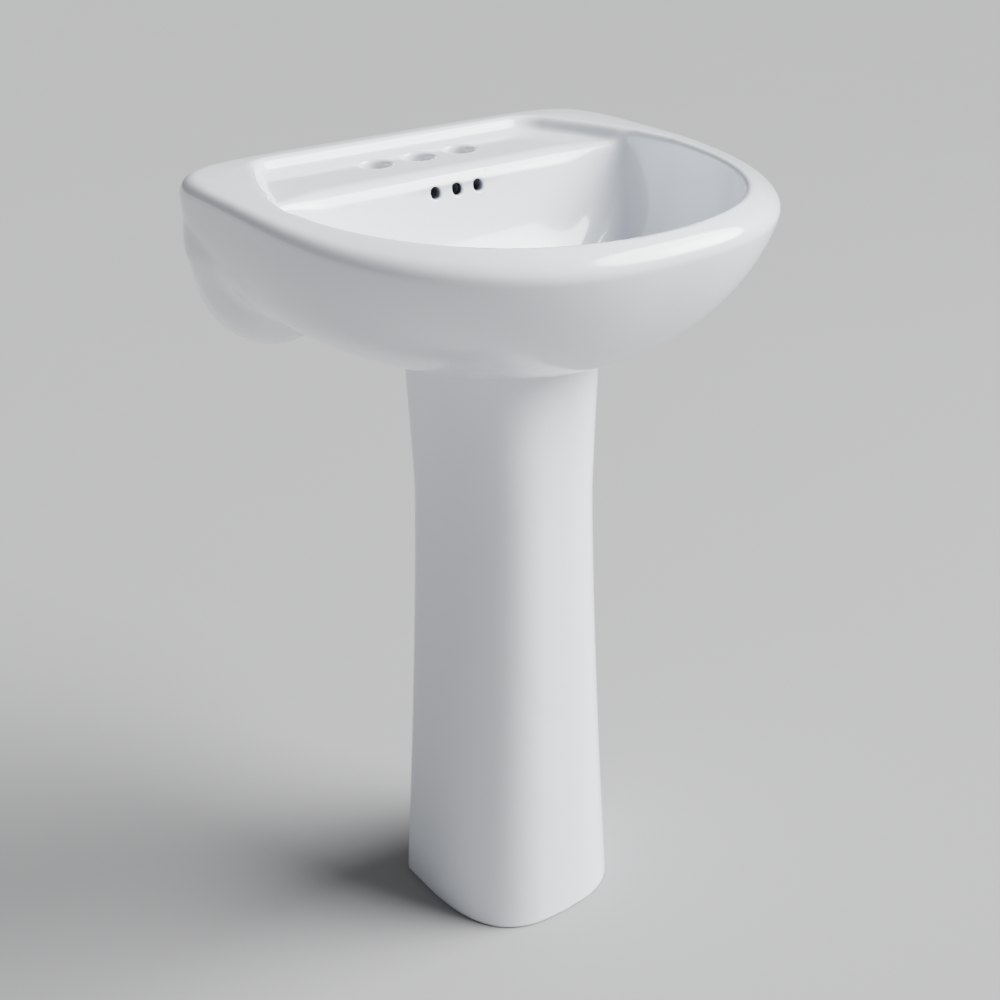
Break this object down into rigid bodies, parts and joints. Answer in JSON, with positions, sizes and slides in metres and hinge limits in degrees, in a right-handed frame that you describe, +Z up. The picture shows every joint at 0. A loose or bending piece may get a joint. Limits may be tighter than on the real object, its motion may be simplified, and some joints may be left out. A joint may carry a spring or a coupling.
{
  "type": "pedestal sink",
  "caption": "White china pedestal sink: D-shaped basin with a recessed faucet deck, drilled faucet and overflow holes, push-type drain, and a waisted hollow pedestal.",
  "frame": {"origin": "on the floor, under the middle of the whole object's box; the wall's face is 212 mm behind it (y = +0.212)", "axes": "+X to the right for someone facing the sink, +Y towards the wall, +Z up"},
  "size_m": [0.505, 0.512, 0.821],
  "materials": {
    "glazed_china": "glossy white glaze",
    "polished_chrome": "polished",
    "plain_brass": "machined",
    "zinc_steel": "zinc plated",
    "spring_steel": "drawn wire",
    "black_rubber": "matt",
    "white_nylon": "matt"
  },
  "bodies": {
    "sink": {"basin": "glazed_china", "pedestal": "glazed_china", "seat_cushion": "black_rubber", "drain_body": "polished_chrome", "flange_gasket": "black_rubber", "body_gasket": "black_rubber", "friction_washer": "white_nylon", "lock_nut": "plain_brass", "tailpiece": "polished_chrome", "tailpiece_washer": "black_rubber", "stopper_barrel": "plain_brass", "stopper_spring": "spring_steel", "wall_bolts": "zinc_steel", "wall_rubber_washers": "black_rubber", "wall_steel_washers": "zinc_steel", "wall_nuts": "zinc_steel", "floor_bushes": "white_nylon"},
    "stopper": {"stopper_plunger": "plain_brass", "stopper_seal": "black_rubber", "stopper_cap": "polished_chrome"}
  },
  "joints": [
    {"name": "stopper_push", "type": "slide", "parent": "sink", "child": "stopper", "axis": [0, 0, -1], "range_m": [0, 0.009], "stiffness_N_per_m": 400, "springref_m": -0.01, "deforming": ["stopper_spring"]}
  ]
}
